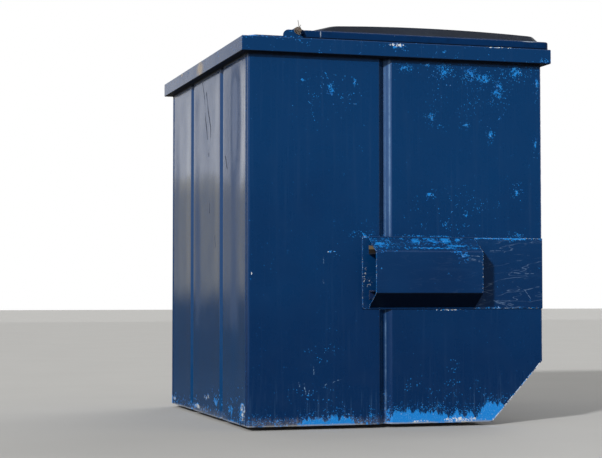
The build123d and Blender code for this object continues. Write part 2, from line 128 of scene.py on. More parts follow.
class Board:
    """The shader nodes of one material, or of the world."""

    def __init__(self, owner):
        owner.use_nodes = True
        self.owner, self.tree = owner, owner.node_tree

    def node(self, kind, settings=None, sockets=(), output=0):
        """Adds a node: first its settings, then the values or links of its sockets."""
        made = self.tree.nodes.new(kind)
        for setting, value in (settings or {}).items():
            if setting == "stops":
                set_stops(made.color_ramp, value)
            else:
                setattr(made, setting, value)
        pairs = sockets.items() if isinstance(sockets, dict) else enumerate(sockets)
        for key, value in pairs:
            self.join(value, made.inputs[key])
        return Wire(self, made.outputs[output])

    def join(self, value, socket):
        if isinstance(value, Wire):
            self.tree.links.new(value.socket, socket)
        else:
            socket.default_value = value

    def ramp(self, value, start, end, low=0.0, high=1.0):
        """Goes smoothly from low, where the value is at the start, to high, where it is at the end."""
        return self.node(
            "ShaderNodeMapRange",
            {"interpolation_type": "SMOOTHSTEP"},
            {"Value": value, "From Min": start, "From Max": end, "To Min": low, "To Max": high},
        )


FLECK_PUSH = 1.1  # how far noise pulls the outlines of flecks about, in flecks
UP = (0.0, 0.0, 1.0)
DOWN = (0.0, 0.0, -1.0)


class Finish(Board):
    """A material: its Principled shader, and the masks and mottles that all finishes are made of."""

    def __init__(self, name, **fixed):
        super().__init__(bpy.data.materials.new(name))
        self.shader = self.tree.nodes["Principled BSDF"]
        for socket, value in fixed.items():
            self.shader.inputs[socket.replace("_", " ")].default_value = value
        self.place = self.node("ShaderNodeTexCoord", output="Object")
        split = self.node("ShaderNodeSeparateXYZ", sockets=[self.place])
        outs = split.socket.node.outputs
        self.x, self.y, self.z = (Wire(self, outs[axis]) for axis in "XYZ")
        self.axes = {"x": self.x, "y": self.y}

    def vector(self, operation, *values, output=0):
        """Vector maths. Its output 1 is the number that a length or a dot product gives."""
        return self.node("ShaderNodeVectorMath", {"operation": operation}, values, output)

    def stretched(self, scale, away):
        """The place in features of a pattern, from the features per metre, alike or along each axis."""
        scales = scale if isinstance(scale, tuple) else (scale,) * 3
        return self.vector("MULTIPLY_ADD", self.place, scales, (away,) * 3)

    def mottle(self, scale, detail=4.0, rough=0.5, away=0.0):
        """Cloudy noise, about 0.5."""
        sockets = {"Vector": self.stretched(scale, away), "Scale": 1.0, "Detail": detail, "Roughness": rough}
        return self.node("ShaderNodeTexNoise", {}, sockets)

    def flecks(self, density, scale, away=0.0):
        """1 in ragged flecks that cover as much of the face as the density, from 0 to 1, says."""
        at = self.stretched(scale, away)
        pull = self.node("ShaderNodeTexNoise", {}, {"Vector": at, "Scale": 1.7, "Detail": 3.0}, 1)
        at = self.vector("MULTIPLY_ADD", pull, (FLECK_PUSH,) * 3, at)
        cells = self.node("ShaderNodeTexVoronoi", {}, {"Vector": at, "Scale": 1.0}, 1)
        chance = self.node("ShaderNodeSeparateXYZ", sockets=[cells])
        return self.ramp(density - chance, 0.0, 0.03)

    def profile(self, value, stops):
        """The height of a line through the stops. A stop is a value from -1 to 1 and its height."""
        stops = [(place * 0.5 + 0.5, height) for place, height in stops]
        return self.node("ShaderNodeValToRGB", {"stops": stops}, [value * 0.5 + 0.5])

    def mix(self, share, first, second):
        return self.node("ShaderNodeMix", {"data_type": "RGBA"}, {0: share, 6: first, 7: second}, 2)

    def ragged(self, reach, scale):
        """The place, pushed about by noise, so that what is drawn there has uneven outlines."""
        sockets = {"Vector": self.stretched(scale, 0.0), "Scale": 1.0, "Detail": 3.0}
        push = self.node("ShaderNodeTexNoise", {}, sockets, 1)
        push = self.vector("MULTIPLY_ADD", push, (2 * reach,) * 3, (-reach,) * 3)
        return self.vector("ADD", self.place, push)

    def away(self, spots, place):
        """How far off the nearest spot is, in its reaches. A spot has a centre and three reaches."""
        nearest = None
        for centre, reach in spots:
            shrink = tuple(1 / r for r in reach)
            shift = tuple(-c / r for c, r in zip(centre, reach))
            off = self.vector("LENGTH", self.vector("MULTIPLY_ADD", place, shrink, shift), output=1)
            nearest = off if nearest is None else off.maths("MINIMUM", nearest, off)
        return nearest

    def near(self, spots, place):
        """1 in the middle of a spot, and 0 past its reaches."""
        return self.ramp(self.away(spots, place), 1.0, 0.25)

    def strokes(self, lines, width, place):
        """1 on straight strokes between two ends, and 0 past their width."""
        nearest = None
        for start, end in lines:
            run = Vector(end) - Vector(start)
            along = self.vector("DOT_PRODUCT", place, tuple(run / run.length_squared), output=1)
            along = along - Vector(start).dot(run) / run.length_squared
            along = self.node("ShaderNodeClamp", sockets=[along])
            foot = self.vector("MULTIPLY_ADD", along, tuple(run), start)
            off = self.vector("DISTANCE", place, foot, output=1)
            nearest = off if nearest is None else off.maths("MINIMUM", nearest, off)
        return self.ramp(nearest, width, width * 0.3)

    def edges(self, radius, least=0.985):
        """1 on the piece's outer edges and 0 on its faces. A smaller least leaves out slight bends."""
        rounded = self.node("ShaderNodeBevel", {"samples": 4}, {"Radius": radius})
        true = self.node("ShaderNodeNewGeometry", output="Normal")
        return self.ramp(self.vector("DOT_PRODUCT", rounded, true, output=1), least, least - 0.125)

    def facing(self, axis):
        """1 on faces that look along the given axis."""
        normal = self.node("ShaderNodeTexCoord", output="Normal")
        return self.ramp(self.vector("DOT_PRODUCT", normal, axis, output=1), 0.2, 0.6)

    def bump(self, height, distance, strength):
        return self.node("ShaderNodeBump", {}, {"Height": height, "Distance": distance, "Strength": strength})

    def dress(self, **wires):
        """Links the shader's sockets, and gives the material."""
        for socket, value in wires.items():
            self.join(value, self.shader.inputs[socket.replace("_", " ")])
        return self.owner


# Colours of the paint, of the steel under it, and of what lies on them, and of painted shade and painted
# highlights
DARK_BLUE = colour(2, 52, 98)
# the coat's lower tone, for painted shade towards the bottom
DEEP_BLUE = colour(1, 40, 82)
LAP_BLUE = colour(48, 84, 126)
CLOUD_BLUE = colour(30, 72, 118)
STREAK_BLUE = colour(74, 112, 150)
SCORE_BLUE = colour(134, 170, 204)
FORK_SCORE_BLUE = colour(118, 146, 180)
# painted highlight on the groove walls that face the light
LIT_WALL_BLUE = colour(84, 114, 158)
BRIGHT_BLUE = colour(5, 121, 200)
WORN_BLUE = colour(8, 82, 156)
PALE_BLUE = colour(116, 176, 220)
# pale lines along groove bends: partly painted highlight, partly worn paint
BEND_HIGHLIGHT_BLUE = colour(116, 150, 186)
PRIMER = colour(206, 210, 212)
GREY_SCUFF = colour(78, 86, 98)
BARE_STEEL = colour(168, 168, 164)
RUST = colour(100, 54, 28)
DARK_RUST = colour(46, 27, 17)
OCHRE_RUST = colour(134, 94, 58)
TAN = colour(140, 122, 96)
DUST = colour(142, 140, 136)
STAIN = colour(8, 12, 22)
# near black, for painted shade
SHADE_BLACK = colour(2, 6, 16)
# near black, for painted shade on the pockets' undersides
POCKET_UNDER_SHADE = colour(1, 3, 12)
INSIDE_BLUE = colour(18, 46, 82)
INSIDE_FADED = colour(34, 62, 94)
GREASE = colour(30, 27, 24)
DRIPS = colour(84, 76, 64)
LID_BLACK = colour(6, 17, 32)
LID_WORN = colour(12, 25, 42)
LID_BLOOM = colour(46, 58, 76)
LID_SPRAY = colour(3, 42, 84)
LID_MARK = colour(150, 162, 176)
LID_DUST = colour(112, 108, 98)
# painted shadow under the lids' skirts
LID_FOOT_SHADOW = colour(5, 8, 14)

# Where wear and shade lie
EDGE_WEAR = 0.005  # how far wear reaches from an edge of the body
PLATE_EDGE_WEAR = 0.007
STEEL_EDGE_WEAR = 0.003
SLOPE_EDGE_WEAR = 0.006
BAND_RAGGED = 0.13  # how far the bare foot's head wanders up and down
LIP = 0.010  # height of the dusty lip at a sheet's foot
FILM = 0.050  # height of the dusty film above it
SHADE_UNDER_RIM = 0.018
STAIN_HALF = 0.011
SCORE_HALF = 0.0034
FORK_SCORE_HALF = 0.0028
GROOVE_LIT = (-0.7, 0.7, 0.0)  # the way the groove walls face that are painted lighter, as a painted highlight
GROOVE_DULL = (-0.7, -0.7, 0.0)  # and the way the groove walls face that are painted near black, as painted shade
VALLEY_LINE = -0.008  # pale lines along a groove, partly painted highlight and partly worn paint, from its middle
CREST_LINE = 0.009 - GROOVE_HALF
# half width of those pale lines
BEND_HIGHLIGHT_HALF = 0.0044


def older_paint(f, grit, cloud):
    """The bright blue coat that shows where the dark one has gone."""
    older = f.mix(f.ramp(cloud, 0.35, 0.55), WORN_BLUE, BRIGHT_BLUE)
    return f.mix(f.ramp(grit, 0.56, 0.70) * 0.75, older, PALE_BLUE)


def dark_coat(f, broad, cloud, runs, deep=DEEP_BLUE):
    """The dark blue coat: deeper low down as painted shade, with faint lap marks and runs."""
    dark = f.mix(f.ramp(f.z + (broad - 0.5) * 1.4, 0.15, 1.5), deep, DARK_BLUE)
    dark = f.mix(f.ramp(runs, 0.52, 0.78) * 0.09, dark, LAP_BLUE)
    return f.mix(f.ramp(cloud, 0.6, 0.8) * 0.10, dark, CLOUD_BLUE)


def orange_peel(f, chips):
    """The brushed coat's slightly uneven skin, lower where it has chipped."""
    return f.bump(f.mottle(420.0, 2.0) * 0.25 + f.mottle(38.0, 2.0) - chips * 0.6, 0.0005, 0.5)


def chip_density(f, spots, clumps, most=0.72, few=0.10):
    """How much of the paint has gone: most of it in the middle of a spot, a little for some way round it."""
    off = f.away(spots, f.ragged(0.010, 34.0))
    return f.ramp(off, 1.25, 0.15) * clumps * most | f.ramp(off, 3.4, 0.8) * clumps * few


def enamel(name, chipped=(), specked=(), scraped=(), scored=(), stained=(), tanned=(), band=None, along="y",
           grooves=(), lit=1.0, slope=False, rim_shade=0.0, gloss=0.28, rub=0.0, rare=0.02, shine=0.30, grain=1.0,
           deep=DEEP_BLUE):
    """Dark blue enamel brushed over an older bright blue, chipped in places and low down.

    The band is the height of the bare foot along the sheet, and the grain how wide its chips are."""
    f = Finish(name, Specular_IOR_Level=shine)
    broad = f.mottle(1.7, 3.0)
    cloud = f.mottle(9.0, 5.0, 0.6, away=3.1)
    runs = f.mottle((48.0, 48.0, 1.3), 4.0, 0.6, away=7.7)
    grit = f.mottle(230.0, 3.0, 0.6, away=5.3)
    patchy = f.mottle(15.0, 4.0, 0.6, away=9.4)
    clumps = f.ramp(f.mottle(46.0, 4.0, 0.7, away=8.8), 0.40, 0.60, 0.15, 1.0)
    edge = f.edges(EDGE_WEAR)

    density = f.ramp(patchy, 0.40, 0.70) * rare + edge * clumps * (0.06 + rub * 0.5)
    bare_share = edge * 0.10 + 0.015
    dusty = f.ramp(f.z, 0.55, 0.02) * f.ramp(cloud, 0.4, 0.7) * 0.005
    if specked:
        speck_field = f.ramp(f.away(specked, f.ragged(0.05, 9.0)), 1.0, 0.2)
        density = density | speck_field * clumps * f.ramp(cloud, 0.4, 0.6) * 0.085
    if chipped:
        density = density | chip_density(f, chipped, clumps)
    if slope:
        from_slope = f.y * (SLOPE_RISE / SLOPE_LENGTH) + f.z * (SLOPE_RUN / SLOPE_LENGTH) - SLOPE_LINE
        cut = f.ramp(from_slope, SLOPE_EDGE_WEAR, SLOPE_EDGE_WEAR / 2)
        density = density | cut * f.ramp(clumps, 0.2, 0.9, 0.4, 1.0)
        bare_share = bare_share | cut * 0.6
    if band:
        sweep = f.mottle((52.0, 52.0, 9.0), 8.0, 0.72, away=2.7)
        over = f.z - SHEET_FOOT + (sweep - 0.5) * BAND_RAGGED - f.profile(f.axes[along], band)
        solid = f.ramp(over, 0.002, -0.006)
        density = density | solid * 1.1 | f.ramp(over, 0.09, -0.01) * clumps * 0.28
        lip = f.ramp(f.z + (cloud - 0.5) * 0.006, SHEET_FOOT + LIP, SHEET_FOOT + LIP * 0.4)
        film = f.ramp(f.z + (sweep - 0.5) * 0.10, SHEET_FOOT + FILM, SHEET_FOOT) * f.ramp(broad, 0.38, 0.58)
        dusty = dusty | film * f.ramp(grit, 0.35, 0.6) * 0.6 * (1 - solid)
        dusty = dusty | lip * f.ramp(patchy, 0.3, 0.5) * 0.7
    fine, coarse = ((scale / grain, scale, scale / grain ** 0.8) for scale in (250.0, 100.0))
    chips = f.flecks(density, fine, 1.9) | f.flecks(density * 1.25 - 0.22, coarse, 4.1)
    if scraped:
        scrape = f.away(scraped, f.ragged(0.010, 34.0))
        bare_share = bare_share | f.ramp(scrape, 1.0, 0.4) * 0.35
        chips = chips | f.flecks(f.ramp(scrape, 1.1, 0.2) * 0.5, coarse, 6.6)
    bare = f.flecks(bare_share, fine, 3.3) * chips
    if scraped:
        bare = bare | f.flecks(f.ramp(scrape, 1.1, 0.3) * 0.20, (170.0, 170.0, 52.0), 2.4)

    dark = dark_coat(f, broad, cloud, runs, deep)
    if band:
        streaks = f.mottle((120.0, 120.0, 4.5), 3.0, 0.6, away=6.0)
        low_streaks = f.ramp(streaks, 0.54, 0.74) * f.ramp(f.z + (broad - 0.5) * 0.4, 0.34, 0.04)
        dark = f.mix(low_streaks * 0.26, dark, STREAK_BLUE)
    # Painted light on the grooves: walls facing GROOVE_LIT are painted lighter as a painted highlight, and
    # walls facing GROOVE_DULL near black as painted shade; lit scales both.
    for axis, line in grooves:
        off = f.axes[axis] - line
        inside = f.ramp(abs(off), GROOVE_HALF, GROOVE_HALF - 0.004)
        wall = f.facing(GROOVE_LIT) * inside
        dark = f.mix(wall * f.ramp(f.z + cloud * 0.3, 0.75, 1.5, 0.01, 0.36) * lit, dark, LIT_WALL_BLUE)
        shaded = inside * f.facing(GROOVE_DULL) * f.ramp(f.z, 0.9, 1.2, 0.1, 0.6) * lit
        dark = f.mix(shaded, dark, SHADE_BLACK)
        # Pale lines at the valley and at one crest only: partly painted highlight on the bends, partly worn
        # paint.
        most_low = f.ramp(f.z, 0.9, 1.3, 0.42, 0.20)
        most_high = f.ramp(f.z, 0.7, 1.1, 0.0, 0.6)
        for bend, most in ((VALLEY_LINE, most_low), (CREST_LINE, most_high)):
            bend_highlight = f.ramp(abs(off - bend), BEND_HIGHLIGHT_HALF, 0.0012) * f.ramp(patchy, 0.32, 0.62, 0.35, 1.0)
            dark = f.mix(bend_highlight * most * lit, dark, BEND_HIGHLIGHT_BLUE)
    if stained:
        stain = f.strokes(stained, STAIN_HALF, f.ragged(0.024, 8.0)) * f.ramp(patchy, 0.32, 0.5)
        dark = f.mix(stain * 0.85, dark, STAIN)
    if scored:
        marks = f.strokes(scored, SCORE_HALF, f.ragged(0.014, 26.0)) * f.ramp(f.mottle(130.0), 0.44, 0.56)
        dark = f.mix(marks * 0.6, dark, SCORE_BLUE)
    paint = f.mix(chips, dark, older_paint(f, grit, cloud + density * 0.12))
    paint = f.mix(bare, paint, PRIMER)
    paint = f.mix(dusty, paint, DUST)
    if tanned:
        tan = f.near(tanned, f.ragged(0.022, 16.0)) * f.ramp(patchy, 0.30, 0.50)
        paint = f.mix(tan * 0.85, paint, TAN)
    rough = gloss + (cloud - 0.5) * 0.16 + chips * 0.2 + dusty * 0.3 + f.ramp(runs, 0.5, 0.8) * 0.06
    if stained:
        rough = rough + stain * 0.5
    # Painted shade: the sheet just under the rim and the rim tube's downward faces are painted near black, as
    # the rim's shadow.
    if rim_shade:
        shade_head = RIM_FOOT - SHADE_UNDER_RIM / 3
        just_under = f.ramp(f.z + (cloud - 0.5) * 0.012, RIM_FOOT - SHADE_UNDER_RIM, shade_head)
        below_tube = f.ramp(f.z, RIM_FOOT + 0.004, RIM_FOOT + 0.001)
        tube_underside = f.facing(DOWN) * f.ramp(f.z, RIM_FOOT - 0.088, RIM_FOOT - 0.038)
        under = just_under * below_tube | tube_underside * f.ramp(f.z, RIM_TOP - 0.024, RIM_TOP - 0.044)
        paint = f.mix(under * rim_shade, paint, SHADE_BLACK)
        rough = rough + under * 0.4
    return f.dress(Base_Color=paint, Roughness=rough, Normal=orange_peel(f, chips))


def rubbed(name, chipped, greyed, strokes):
    """The wear plates' and pockets' enamel: scored along by forks, and rubbed to bright blue on edges."""
    f = Finish(name, Specular_IOR_Level=0.26)
    broad = f.mottle(2.3, 3.0, away=4.0)
    cloud = f.mottle(12.0, 5.0, 0.6, away=3.1)
    grit = f.mottle(240.0, 3.0, 0.6, away=5.3)
    runs = f.mottle((30.0, 3.0, 30.0), 3.0, 0.6, away=1.4)
    clumps = f.ramp(f.mottle((46.0, 30.0, 60.0), 5.0, 0.7, away=8.8), 0.38, 0.58)
    edge = f.edges(PLATE_EDGE_WEAR, 0.92)
    off = f.away(chipped, f.ragged(0.008, 45.0))
    density = f.ramp(off, 1.5, 0.4) * f.ramp(clumps, 0.0, 0.8, 0.25, 1.10)
    density = density | f.ramp(off, 4.0, 0.8) * clumps * 0.30
    top_edge = f.ramp(f.z, PLATE_HEAD - 0.012, PLATE_HEAD - 0.006, 0.65, 1.1)
    density = density | edge * f.ramp(clumps, 0.0, 0.7, 0.15, 1.0) * top_edge
    density = density | f.ramp(cloud, 0.5, 0.7) * 0.03
    grey = f.near(greyed, f.ragged(0.022, 24.0)) * clumps
    chips = f.flecks(density, (250.0, 190.0, 250.0), 1.9)
    chips = chips | f.flecks(density * 1.3 - 0.22, (100.0, 66.0, 110.0), 4.1)
    bare = f.flecks(edge * 0.24 + 0.02 + grey * 0.2, 220.0, 3.3) * (chips | grey)
    scuffs = f.flecks(grey * 0.22 + edge * 0.05, 120.0, 7.3)

    ahead = f.ramp(f.y, -0.40, -0.50, 0.12, 1.0)
    wander = f.ragged(0.012, 5.0)
    scores = None
    for tilt, seed in ((0.0, 3.7), (0.12, 6.2)):
        sheared = f.vector("MULTIPLY_ADD", wander, (6.0, 4.2, 25.0), (seed,) * 3)
        sheared = f.vector("MULTIPLY_ADD", f.y, (0.0, 0.0, 25.0 * tilt), sheared)
        field = f.node("ShaderNodeTexNoise", {}, {"Vector": sheared, "Scale": 1.0, "Detail": 2.0})
        breaks = f.ramp(f.mottle((9.0, 9.0, 20.0), 4.0, 0.6, seed), 0.44, 0.58)
        line = f.ramp(abs(field - 0.5), 0.013, 0.004) * breaks
        scores = line if scores is None else scores | line
    drawn_marks = f.strokes(strokes, FORK_SCORE_HALF, f.ragged(0.007, 14.0))
    drawn_marks = drawn_marks * f.ramp(f.mottle(70.0, away=2.2), 0.36, 0.54)
    scored = scores * ahead * 0.30 | drawn_marks * 0.42

    dark = dark_coat(f, broad, cloud, runs)
    paint = f.mix(scored, dark, FORK_SCORE_BLUE)
    paint = f.mix(chips, paint, older_paint(f, grit, cloud + density * 0.12))
    paint = f.mix(bare, paint, PRIMER)
    paint = f.mix(scuffs, paint, GREY_SCUFF)
    # Painted shade: downward faces of plates and hoods are painted near black.
    paint = f.mix(f.facing(DOWN) * 0.95, paint, POCKET_UNDER_SHADE)
    rough = 0.32 + (cloud - 0.5) * 0.16 + chips * 0.2 + scored * 0.1 + scuffs * 0.3 + edge * 0.25
    return f.dress(Base_Color=paint, Roughness=rough, Normal=orange_peel(f, chips | scored * 0.6))


def worn_steel(name, left, dusty, coat_colour, rust_colour=RUST, bright=0.5, dark_under=0.0):
    """Steel whose paint has partly gone: what is left of the coat, rust, and bare grey on the edges.

    Below the height that dark_under gives, it is painted near black as the pocket's shade, and its downward
    faces are painted near black as shade too."""
    f = Finish(name, Specular_IOR_Level=0.4)
    broad = f.mottle(7.0, 4.0, 0.6)
    flakes = f.mottle(55.0, 8.0, 0.72, away=2.0)
    grit = f.mottle(260.0, 4.0, 0.65, away=8.0)
    edge = f.edges(STEEL_EDGE_WEAR)
    start = 0.60 - left * 0.30
    coat = f.ramp(flakes * 0.6 + broad * 0.4 - edge * 0.10, start, start + 0.03)
    rust = f.mix(f.ramp(grit, 0.35, 0.65), DARK_RUST, rust_colour)
    rust = f.mix(f.ramp(broad, 0.45, 0.7) * 0.5, rust, OCHRE_RUST)
    steel = f.mix(edge * f.ramp(flakes, 0.36, 0.56) * bright * 2, rust, BARE_STEEL)
    paint = f.mix(coat, steel, coat_colour)
    paint = f.mix(f.ramp(broad, 0.4, 0.75) * dusty, paint, DUST)
    # Painted shade: downward faces, and what lies below dark_under, are painted near black.
    paint = f.mix(f.facing(DOWN) * 0.8, paint, SHADE_BLACK)
    if dark_under:
        shade = f.ramp(f.z + (flakes - 0.5) * 0.01, dark_under + 0.003, dark_under - 0.003)
        paint = f.mix(shade * 0.9, paint, SHADE_BLACK)
    rough = 0.80 - coat * 0.34 - edge * 0.25
    skin = f.bump(grit * 0.6 + flakes + coat * 0.5, 0.0008, 0.8)
    return f.dress(Base_Color=paint, Roughness=rough, Normal=skin, Metallic=edge * (1 - coat) * 0.5)


def inside_grime(name):
    """Inner faces: old paint scraped by refuse, rust, and grease low down."""
    f = Finish(name, Specular_IOR_Level=0.3)
    broad = f.mottle(2.6, 4.0, 0.6)
    cloud = f.mottle(14.0, 6.0, 0.65, away=3.0)
    flakes = f.mottle(46.0, 8.0, 0.72, away=6.0)
    drips = f.mottle((40.0, 40.0, 1.6), 4.0, 0.6, away=1.0)
    low = f.ramp(f.z, 1.1, 0.1)
    rusted = f.ramp(flakes * 0.5 + cloud * 0.5 + low * 0.09 + drips * 0.1, 0.58, 0.66)
    paint = f.mix(f.ramp(broad, 0.35, 0.65), INSIDE_BLUE, INSIDE_FADED)
    rust = f.mix(f.ramp(flakes, 0.4, 0.65), DARK_RUST, RUST)
    paint = f.mix(rusted, paint, rust)
    grease = f.ramp(cloud + low * 0.22, 0.62, 0.8) * 0.7
    paint = f.mix(grease, paint, GREASE)
    paint = f.mix(f.ramp(drips, 0.58, 0.75) * 0.3, paint, DRIPS)
    skin = f.bump(flakes + cloud, 0.0010, 0.7)
    return f.dress(Base_Color=paint, Roughness=0.62 + rusted * 0.25 - grease * 0.25, Normal=skin)


def lid_plastic(name, scratched):
    """Blue-black moulded plastic, dulled by weather, with the body's dark blue sprayed over its skirt."""
    f = Finish(name, Specular_IOR_Level=0.08)
    broad = f.mottle(2.2, 3.0)
    cloud = f.mottle(13.0, 5.0, 0.6, away=4.0)
    fine = f.mottle(300.0, 3.0, 0.6, away=2.0)
    hair = f.mottle((7.0, 170.0, 170.0), 3.0, 0.6, away=9.0)
    speck = f.mottle(95.0, 3.0, 0.6, away=1.0)
    plastic = f.mix(f.ramp(broad, 0.3, 0.7), LID_BLACK, LID_WORN)
    plastic = f.mix(f.ramp(cloud, 0.5, 0.8) * 0.22, plastic, LID_BLOOM)
    spray = f.ramp(f.z + (cloud - 0.5) * 0.012, LID_BAND + 0.014, LID_BAND - 0.002)
    plastic = f.mix(spray * f.ramp(cloud, 0.25, 0.5, 0.6, 1.0), plastic, LID_SPRAY)
    marks = f.ramp(hair, 0.72, 0.76) * 0.4 | f.ramp(speck, 0.74, 0.77) * 0.5
    marks = marks | f.near(scratched, f.place) * f.ramp(speck, 0.40, 0.50)
    plastic = f.mix(marks, plastic, LID_MARK)
    up = f.facing(UP)
    plastic = f.mix(up * f.ramp(cloud, 0.35, 0.7) * 0.03, plastic, LID_DUST)
    # Painted shadow: a dark line at the skirt's foot, where the lid sits on the rim.
    foot_shadow = f.ramp(f.z, RIM_TOP + 0.010, RIM_TOP + 0.005)
    plastic = f.mix(foot_shadow * 0.85, plastic, LID_FOOT_SHADOW)
    rough = 0.46 + (cloud - 0.5) * 0.2 + marks * 0.2 - spray * 0.10 + up * 0.06
    skin = f.bump(fine * 0.4 + f.mottle(26.0, 3.0) + cloud * 0.6, 0.0010, 0.5)
    return f.dress(Base_Color=plastic, Roughness=rough, Normal=skin)


SPOT_DEPTH = 0.08  # how far a spot reaches into and out of its face
TUBE_SPOT_DEPTH = 0.05
HOOD_MIDDLE = 0.98  # about halfway from the wear plate's face to the hood's
POCKET_SHADE = 0.906  # height below which the pocket's upper angle is painted dark, as painted shade


def around(side, flat_spots, depth=SPOT_DEPTH):
    """Spots on a pocket side, from their (y, z, reach along y, reach along z)."""
    return [((side, y, z), (depth, ry, rz)) for y, z, ry, rz in flat_spots]


def across(end, flat_spots):
    """Spots on the rear or front, from their (x, z, reach along x, reach along z)."""
    return [((x, end, z), (rx, SPOT_DEPTH, rz)) for x, z, rx, rz in flat_spots]


def drawn(side, flat_lines):
    """Strokes on a pocket side, from the y and z of their two ends."""
    return [((side, y0, z0), (side, y1, z1)) for y0, z0, y1, z1 in flat_lines]


def both_sides(draw, side, flat):
    """Spots or strokes alike on both pocket sides."""
    return draw(-side, flat) + draw(side, flat)


# Wear, placed as on the faces in the photograph, and freely on those that it doesn't show. A chip,
# speck or scrape has its middle and its reaches, a stroke its two ends, and a band its head at each place.
SEEN_SIDE_CHIPS = [
    (-0.255, 1.837, 0.045, 0.036),
    (-0.403, 1.825, 0.042, 0.050),
    (-0.475, 1.800, 0.050, 0.026),
    (-0.558, 1.747, 0.034, 0.062),
    (-0.649, 1.845, 0.050, 0.034),
    (-0.046, 1.838, 0.040, 0.018),
    (-0.164, 1.859, 0.020, 0.012),
    (-0.775, 1.781, 0.010, 0.062),
    (-0.185, 1.595, 0.018, 0.030),
    (-0.227, 1.545, 0.018, 0.010),
    (-0.374, 1.555, 0.018, 0.014),
    (-0.514, 1.512, 0.016, 0.026),
    (-0.563, 1.595, 0.007, 0.014),
    (-0.767, 1.461, 0.010, 0.036),
    (-0.173, 1.189, 0.020, 0.016),
    (-0.660, 1.214, 0.018, 0.026),
    (-0.372, 1.092, 0.014, 0.026),
    (-0.258, 1.036, 0.018, 0.018),
    (-0.660, 0.984, 0.036, 0.012),
    (0.170, 0.982, 0.056, 0.012),
    (-0.180, 0.975, 0.180, 0.006),
    (0.055, 0.060, 0.016, 0.060),
    (-0.280, 0.599, 0.090, 0.004),
    (0.507, 1.757, 0.016, 0.010),
    (0.359, 1.722, 0.020, 0.040),
    (0.233, 1.755, 0.010, 0.026),
    (0.340, 0.042, 0.020, 0.040),
    (0.150, 0.050, 0.014, 0.036),
]
SEEN_SIDE_SPECKS = [
    (-0.40, 1.72, 0.42, 0.20),
    (0.36, 1.68, 0.30, 0.24),
    (-0.30, 1.10, 0.40, 0.24),
    (0.40, 0.45, 0.14, 0.20),
    (0.42, 0.15, 0.28, 0.16),
    (-0.25, 0.20, 0.40, 0.20),
    (0.15, 1.02, 0.12, 0.10),
]
SEEN_SIDE_SCRAPES = [
    (0.359, 0.891, 0.026, 0.008),
    (0.781, 0.776, 0.008, 0.026),
    (-0.345, 0.034, 0.120, 0.017),
    (-0.120, 0.028, 0.070, 0.009),
    (-0.290, 0.599, 0.100, 0.005),
    (0.090, 0.601, 0.040, 0.003),
]
SEEN_SIDE_STROKES = [
    (0.530, 0.232, 0.518, 0.190),
    (0.505, 0.238, 0.492, 0.178),
    (0.480, 0.176, 0.468, 0.204),
    (0.400, 0.208, 0.382, 0.236),
    (0.350, 0.236, 0.300, 0.254),
    (0.404, 0.866, 0.402, 0.735),
    (0.378, 0.895, 0.352, 0.880),
    (0.455, 0.330, 0.450, 0.280),
]
SEEN_SIDE_BAND = [
    (-0.8, 0.03), (-0.545, 0.088), (-0.49, 0.104), (-0.455, 0.07), (-0.425, 0.02),
    (-0.39, 0.062), (-0.36, 0.02), (-0.32, 0.056), (-0.28, 0.03), (-0.23, 0.05),
    (-0.1, 0.066), (0.03, 0.064), (0.06, -0.01), (0.22, -0.02), (0.26, 0.03),
    (0.33, 0.04), (0.38, 0.028), (0.51, 0.034), (0.54, -0.02), (0.8, -0.03),
]
HIDDEN_SIDE_CHIPS = [
    (-0.12, 1.82, 0.045, 0.040),
    (-0.58, 1.80, 0.060, 0.040),
    (-0.44, 1.72, 0.030, 0.050),
    (0.30, 1.84, 0.060, 0.020),
    (0.55, 1.50, 0.020, 0.060),
    (-0.34, 1.30, 0.030, 0.020),
    (0.34, 0.86, 0.020, 0.050),
    (0.62, 0.36, 0.030, 0.070),
    (-0.20, 0.40, 0.040, 0.020),
]
HIDDEN_SIDE_SCRAPES = [(0.48, 1.12, 0.050, 0.008), (0.52, 0.30, 0.012, 0.060), (-0.42, 0.06, 0.060, 0.014)]
HIDDEN_SIDE_BAND = [
    (-0.8, 0.03), (-0.52, 0.02), (-0.4, 0.06), (-0.1, 0.02), (0.2, 0.05),
    (0.5, 0.0), (0.8, 0.05),
]
REAR_CHIPS = [
    (-0.565, 0.085, 0.060, 0.032),
    (-0.240, 0.110, 0.080, 0.040),
    (-0.800, 0.080, 0.080, 0.060),
    (0.250, 0.050, 0.090, 0.030),
    (0.840, 0.060, 0.050, 0.020),
]
REAR_SCRAPES = [
    (-0.82, 0.090, 0.060, 0.060),
    (0.20, 0.050, 0.080, 0.020),
    (0.84, 0.055, 0.050, 0.020),
    (-0.01, 0.115, 0.070, 0.030),
]
REAR_BAND = [
    (-0.92, 0.0), (-0.7, -0.01), (-0.6, 0.016), (-0.5, -0.015), (-0.1, -0.005),
    (0.3, -0.02), (0.92, -0.01),
]
REAR_STAINS = [
    ((0.095, END, 1.860), (0.030, END, 1.640)),
    ((0.030, END, 1.640), (-0.040, END, 1.440)),
    ((0.020, END, 1.800), (-0.080, END, 1.580)),
    ((-0.080, END, 1.580), (-0.085, END, 1.500)),
    ((-0.190, END, 1.010), (-0.205, END, 0.930)),
    ((-0.440, END, 1.400), (-0.475, END, 1.345)),
    ((-0.050, END, 1.290), (-0.060, END, 1.130)),
]
FRONT_CHIPS = [
    (-0.60, 1.60, 0.050, 0.060),
    (-0.48, 1.50, 0.040, 0.030),
    (0.05, 1.80, 0.070, 0.020),
    (0.20, 1.74, 0.040, 0.040),
    (0.62, 1.30, 0.040, 0.080),
    (-0.15, 0.62, 0.060, 0.030),
    (0.55, 0.40, 0.060, 0.030),
    (-0.70, 0.40, 0.040, 0.050),
]
FRONT_SCRAPES = [(0.05, 0.92, 0.160, 0.006), (-0.05, 0.99, 0.110, 0.005), (0.52, 1.18, 0.060, 0.012)]
